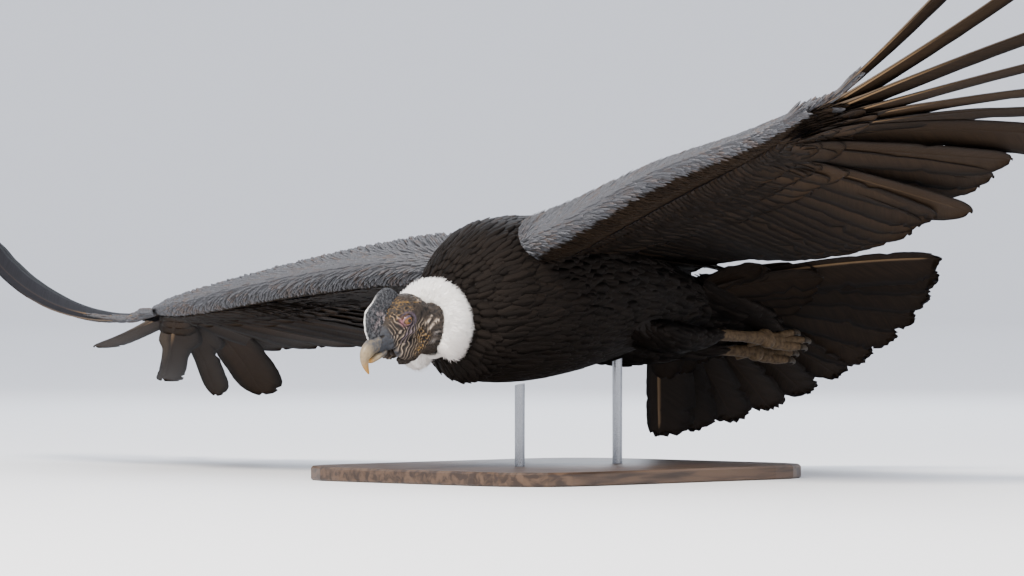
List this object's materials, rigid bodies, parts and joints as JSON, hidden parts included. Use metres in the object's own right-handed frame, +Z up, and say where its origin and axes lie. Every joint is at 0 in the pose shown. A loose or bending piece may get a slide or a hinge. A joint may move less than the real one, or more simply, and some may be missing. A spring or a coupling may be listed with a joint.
{
  "type": "andean condor",
  "caption": "Life-size adult male Andean condor gliding in a gentle bank, wings and tail spread, head lowered, legs trailed, held on rods above a flat base.",
  "frame": {"origin": "centre of the underside of the display base, on the floor", "axes": "+Z up, the bird flies towards -Y, its left wing is on +X and its tail on +Y"},
  "size_m": [2.6225, 1.1515, 0.9281],
  "materials": {
    "plumage": "black body feathers with a faint brown and grey sheen",
    "flight": "brown-black flight feathers, paler shafts, silvery white panel on the upper wing",
    "down": "soft warm-white down",
    "skin": "bare folded skin, brown-grey with yellow and purple-pink patches",
    "comb": "slate-grey fleshy crest with a pale scurf",
    "horn": "ivory horn, dark at the base",
    "iris": "wet brown eye with a dark pupil",
    "scales": "grey-buff scaled skin with dark claws",
    "wood": "satin dark stained wood",
    "steel": "satin steel rod"
  },
  "bodies": {
    "root": {"torso": "plumage", "neck": "skin", "ruff": "down", "head": "skin", "comb": "comb", "bill_upper": "horn", "bill_lower": "horn", "wattle": "skin", "eye_left": "iris", "eye_right": "iris", "wing_left_arm": "flight", "wing_left_hand": "flight", "wing_right_arm": "flight", "wing_right_hand": "flight", "tail": "flight", "thigh_left": "plumage", "shank_left": "scales", "foot_left": "scales", "thigh_right": "plumage", "shank_right": "scales", "foot_right": "scales", "stand_base": "wood", "stand_rod_front": "steel", "stand_rod_rear": "steel"}
  },
  "joints": []
}
